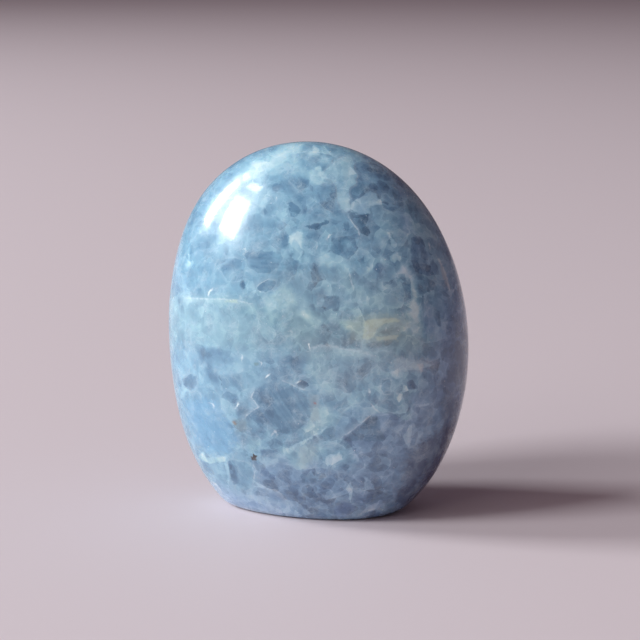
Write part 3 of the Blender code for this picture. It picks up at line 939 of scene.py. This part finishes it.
def celestite_material():
    material = bpy.data.materials.new("celestite_polished")
    material.use_nodes = True
    tree = material.node_tree
    shader = tree.nodes["Principled BSDF"]

    place = scaled(tree, node(tree, "ShaderNodeTexCoord").outputs["Object"], 1000.0)
    bent = shifted(tree, place, 0.13, 4.0)
    crumpled = shifted(tree, bent, 0.8, 0.6, 4.0)

    # Unevenness of edges, and where white lines show and where they are gone.
    ragged = math_node(tree, "ADD", centred(tree, noise(tree, bent, 0.9, 4.0, 0.65).outputs["Fac"], 1.7),
                       centred(tree, noise(tree, place, 2.6, 2.0).outputs["Fac"], 0.7))
    patchy = spread(tree, noise(tree, place, 0.7, 3.0).outputs["Fac"], 0.42, 0.62)

    unrest = attribute(tree, "unrest").outputs["Fac"]
    haze = math_node(tree, "MULTIPLY_ADD", unrest, -0.2, noise(tree, place, 0.21, 3.0).outputs["Fac"])
    edge_width = spread(tree, haze, 0.24, 0.48, 0.5, 2.8)
    smoothness = spread(tree, haze, 0.26, 0.48, 0.0, 0.5)

    # The cloud tone and tint include the painted shade and reflection at the right rim and the lower right.
    tone = attribute(tree, "cloud_tone").outputs["Fac"]
    tint = attribute(tree, "cloud_tint").outputs["Fac"]
    tone, tint, rims = patch_layers(tree, tone, tint, ragged, patchy, edge_width)
    # The spots include painted shade along the foot and a painted glow by the highlight.
    tone = math_node(tree, "ADD", tone, attribute(tree, "spots").outputs["Fac"])

    big_value, big_slope, big_edge, big_pillow = mosaic(tree, crumpled, 0.23, smoothness)
    small_value, small_slope, small_edge, small_pillow = mosaic(tree, crumpled, 0.55, smoothness)
    cloud = noise(tree, bent, 0.12, 6.0, 0.62).outputs["Fac"]
    veils = None
    for scale, width in ((0.20, 0.05), (0.55, 0.06), (1.4, 0.09)):
        ridge = noise(tree, bent, scale, 6.0, 0.6, 0.8).outputs["Fac"]
        ridge = spread(tree, math_node(tree, "ABSOLUTE", math_node(tree, "SUBTRACT", ridge, 0.5)), 0.0, width, 1.0, 0.0)
        veils = ridge if veils is None else math_node(tree, "ADD", veils, ridge)
    blots = noise(tree, bent, 0.38, 4.0, 0.6).outputs["Fac"]
    grain = noise(tree, place, 2.2, 4.0, 0.7).outputs["Fac"]

    changes = 0.0
    for change in (centred(tree, big_value, 0.17), math_node(tree, "MULTIPLY", big_slope, 0.22),
                   centred(tree, small_value, 0.14), math_node(tree, "MULTIPLY", small_slope, 0.14),
                   centred(tree, big_pillow, 0.18), centred(tree, small_pillow, 0.13),
                   centred(tree, cloud, 0.22), centred(tree, blots, 0.15), centred(tree, grain, 0.18)):
        changes = math_node(tree, "ADD", change, changes)
    value = math_node(tree, "MULTIPLY_ADD", tone, 0.38, 0.46)
    value = math_node(tree, "MULTIPLY_ADD", changes, unrest, value)
    value = math_node(tree, "MULTIPLY_ADD", threads(tree, place), 0.4, value)

    color = color_ramp(tree, value, (
        (0.05, srgb(76, 110, 138)),
        (0.28, srgb(102, 143, 172)),
        (0.50, srgb(132, 176, 200)),
        (0.72, srgb(163, 204, 220)),
        (0.95, srgb(206, 230, 236)),
    ))
    # The indigo tint also carries the painted mauve reflection and painted shade along the right side and the lower
    # right.
    green = math_node(tree, "MULTIPLY", tint, -1.0, clamp=True)
    indigo = math_node(tree, "MULTIPLY", tint, 1.0, clamp=True)
    color = mix_color(tree, green, color, (1.10, 1.03, 0.90, 1.0), "MULTIPLY")
    color = mix_color(tree, indigo, color, (1.05, 0.86, 0.99, 1.0), "MULTIPLY")

    # Stains of iron and a little green between the crystals, and the painted shade of the lower right corner.
    for number in range(STAIN_AND_SHADE_LAYERS):
        depth, share, _ = attribute_parts(tree, f"stain_and_shade_{number}")
        cover = spread(tree, math_node(tree, "ADD", depth, ragged), -0.5, 0.5)
        stain_and_shade = attribute(tree, f"stain_and_shade_color_{number}").outputs["Color"]
        color = mix_color(tree, math_node(tree, "MULTIPLY", cover, share), color, stain_and_shade)

    # White webs: along the mosaic's edges, in thin veils, on the patches' rims and in the seams.
    web = math_node(tree, "MAXIMUM", spread(tree, big_edge, 0.0, 0.05, 1.0, 0.0),
                    math_node(tree, "MULTIPLY", spread(tree, small_edge, 0.0, 0.07, 1.0, 0.0), 0.6))
    lacy = spread(tree, noise(tree, bent, 0.25, 4.0).outputs["Fac"], 0.44, 0.66)
    white = math_node(tree, "MULTIPLY", math_node(tree, "MULTIPLY", web, lacy), 0.34)
    white = math_node(tree, "MAXIMUM", white, math_node(tree, "MULTIPLY", math_node(tree, "MULTIPLY", veils, lacy), 0.16))
    white = math_node(tree, "MAXIMUM", white, math_node(tree, "MULTIPLY", rims, 0.9))
    glow = math_node(tree, "MULTIPLY", attribute(tree, "glow").outputs["Fac"], 0.9)
    white = math_node(tree, "MAXIMUM", white, glow, clamp=True)
    color = mix_color(tree, white, color, (*srgb(196, 218, 228), 1.0))

    broken = spread(tree, noise(tree, place, 0.9, 4.0, 0.65).outputs["Fac"], 0.36, 0.60, 0.12, 1.0)
    thin = spread(tree, noise(tree, place, 1.5, 3.0).outputs["Fac"], 0.3, 0.7, 0.6, 1.5)
    for number in range(SEAM_LAYERS):
        aside, strength, _ = attribute_parts(tree, f"seam_{number}")
        line = spread(tree, math_node(tree, "DIVIDE", math_node(tree, "ABSOLUTE", aside), thin), 0.25, 1.2, 1.0, 0.0)
        whole = math_node(tree, "MAXIMUM", broken, spread(tree, strength, 0.55, 0.85))
        line = math_node(tree, "MULTIPLY", math_node(tree, "MULTIPLY", line, strength), whole, clamp=True)
        color = mix_color(tree, line, color, (*srgb(232, 243, 246), 1.0))

    sparkles = math_node(tree, "MAXIMUM", sparkle_points(tree, place, 0.75, 0.13, 0.86),
                         sparkle_points(tree, place, 1.7, 0.17, 0.93), clamp=True)
    color = mix_color(tree, math_node(tree, "MULTIPLY", sparkles, 0.6), color, (*srgb(238, 246, 248), 1.0))

    tree.links.new(color, shader.inputs["Base Color"])
    smear = spread(tree, noise(tree, bent, 0.3, 4.0).outputs["Fac"], 0.3, 0.7, 0.20, 0.32)
    tree.links.new(smear, shader.inputs["Roughness"])
    bump = node(tree, "ShaderNodeBump", {"Strength": 0.06, "Distance": 0.0004,
                                         "Height": noise(tree, place, 0.5, 4.0).outputs["Fac"]})
    tree.links.new(bump.outputs[0], shader.inputs["Normal"])
    shader.inputs["IOR"].default_value = 1.62
    shader.inputs["Coat Weight"].default_value = 0.5
    shader.inputs["Coat Roughness"].default_value = 0.09
    shader.inputs["Coat IOR"].default_value = 1.62
    shader.inputs["Subsurface Weight"].default_value = 0.25
    shader.inputs["Subsurface Radius"].default_value = (0.6, 0.9, 1.2)
    shader.inputs["Subsurface Scale"].default_value = 0.0015
    return material


def make_stone():
    mesh, way = unit_ball()
    write_points(mesh, center_on_origin(stone_points(way)))
    mesh.shade_smooth()
    paint_fields(mesh)
    mesh.materials.append(celestite_material())
    stone = bpy.data.objects.new("celestite_polished_stone", mesh)
    bpy.context.scene.collection.objects.link(stone)
    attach(stone, "root")
    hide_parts(NODE)
    return stone


# Floor, light and camera

def plain_material(name, color, roughness):
    material = bpy.data.materials.new(name)
    material.use_nodes = True
    shader = material.node_tree.nodes["Principled BSDF"]
    shader.inputs["Base Color"].default_value = (*color, 1.0)
    shader.inputs["Roughness"].default_value = roughness
    return material


def make_floor():
    bpy.ops.mesh.primitive_plane_add(size=12, location=(0, 0, 0))
    floor = bpy.context.object
    floor.name = "floor"
    floor.data.materials.append(plain_material("pale_floor", srgb(214, 200, 204), 0.7))


def make_panel(name, turn, rise, distance, width, height, power, color, shows=True, lights=True):
    """A soft light: turned from the front and raised, in degrees, and aimed at the stone."""
    turn = math.radians(turn)
    rise = math.radians(rise)
    way = Vector((math.sin(turn) * math.cos(rise), -math.cos(turn) * math.cos(rise), math.sin(rise)))
    data = bpy.data.lights.new(name, "AREA")
    data.shape = "RECTANGLE"
    data.size = width
    data.size_y = height
    data.energy = power
    data.color = color
    panel = bpy.data.objects.new(name, data)
    panel.location = VIEW_TARGET + way * distance
    panel.rotation_euler = way.to_track_quat("Z", "Y").to_euler()
    panel.visible_glossy = shows
    panel.visible_diffuse = lights
    bpy.context.scene.collection.objects.link(panel)


def make_light():
    cool = (0.93, 0.98, 1.0)
    make_panel("left_panel", -89, 33, 4.0, 0.80, 1.76, 104.0, cool)
    make_panel("right_panel", -61, 33, 4.0, 1.04, 1.12, 104.0, cool)
    make_panel("small_right_panel", -60, 49, 4.0, 0.80, 0.30, 12.0, cool, lights=False)
    make_panel("small_left_panel", -89, 50, 4.0, 0.80, 0.22, 7.0, cool, lights=False)
    make_panel("fill_panel", -48, 22, 4.8, 4.0, 3.4, 80.0, (1.0, 0.97, 0.98), shows=False)
    world = bpy.data.worlds.new("studio")
    bpy.context.scene.world = world
    world.use_nodes = True
    sky = world.node_tree.nodes["Background"]
    sky.inputs["Color"].default_value = (*srgb(226, 194, 208), 1.0)
    sky.inputs["Strength"].default_value = 0.16


def make_camera():
    right, up, back = view_axes()
    data = bpy.data.cameras.new("camera")
    data.sensor_width = SENSOR_MM
    data.lens = VIEW_DISTANCE / (METRES_PER_PIXEL * FRAME_PIXELS) * SENSOR_MM
    data.clip_start = 0.01
    camera = bpy.data.objects.new("camera", data)
    camera.location = VIEW_TARGET + back * VIEW_DISTANCE
    camera.rotation_euler = back.to_track_quat("Z", "Y").to_euler()
    bpy.context.scene.collection.objects.link(camera)
    bpy.context.scene.camera = camera


bpy.context.scene.view_settings.view_transform = "Standard"
make_camera()
make_stone()
make_floor()
make_light()
